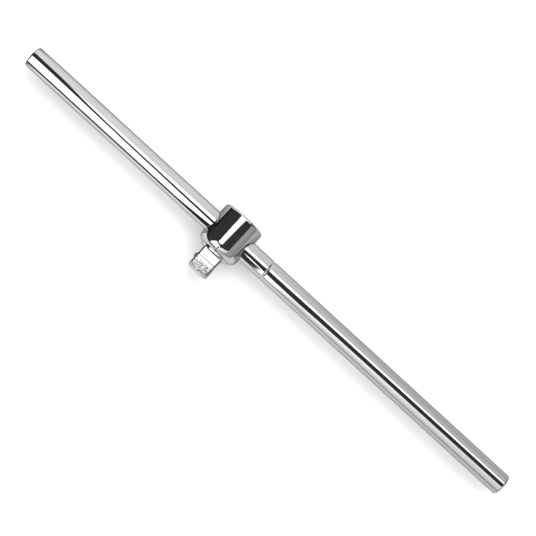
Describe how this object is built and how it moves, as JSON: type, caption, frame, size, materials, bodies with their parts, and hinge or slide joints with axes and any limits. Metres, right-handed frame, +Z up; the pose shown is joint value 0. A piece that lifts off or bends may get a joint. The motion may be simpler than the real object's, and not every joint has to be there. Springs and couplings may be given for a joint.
{
  "type": "sliding-head breaker bar",
  "caption": "Chromed round bar sliding through a barrel head with a male square drive, held mid-way by a sprung detent ball.",
  "frame": {"origin": "on the surface the tool lies on, under the middle of the bar's length and midway between the head's crown and the square's tip", "axes": "+X along the bar, towards its longer side; -Y along the square, towards its tip; +Z up, square to both"},
  "size_m": [0.52, 0.059, 0.0386],
  "materials": {
    "chrome_plate": "bright chrome plate over ground steel",
    "bearing_steel": "polished hardened steel",
    "spring_steel": "drawn spring wire",
    "blackened_steel": "black oxide"
  },
  "bodies": {
    "bar": {"sliding_bar": "chrome_plate"},
    "head": {"head_body": "chrome_plate", "crown_plug": "blackened_steel", "bar_detent_spring": "spring_steel", "socket_ball_spring": "spring_steel"},
    "bar_detent": {"bar_detent_ball": "bearing_steel"},
    "socket_catch": {"socket_ball": "bearing_steel"}
  },
  "joints": [
    {"name": "head_slide", "type": "slide", "parent": "bar", "child": "head", "axis": [1, 0, 0], "range_m": [-0.197, 0.281]},
    {"name": "bar_detent_press", "type": "slide", "parent": "head", "child": "bar_detent", "axis": [0, -1, 0], "range_m": [0, 0.0012], "stiffness_N_per_m": 4000, "springref_m": -0.001, "deforming": ["bar_detent_spring"]},
    {"name": "socket_ball_press", "type": "slide", "parent": "head", "child": "socket_catch", "axis": [1, 0, 0], "range_m": [0, 0.0019], "stiffness_N_per_m": 4000, "springref_m": -0.001, "deforming": ["socket_ball_spring"]}
  ]
}
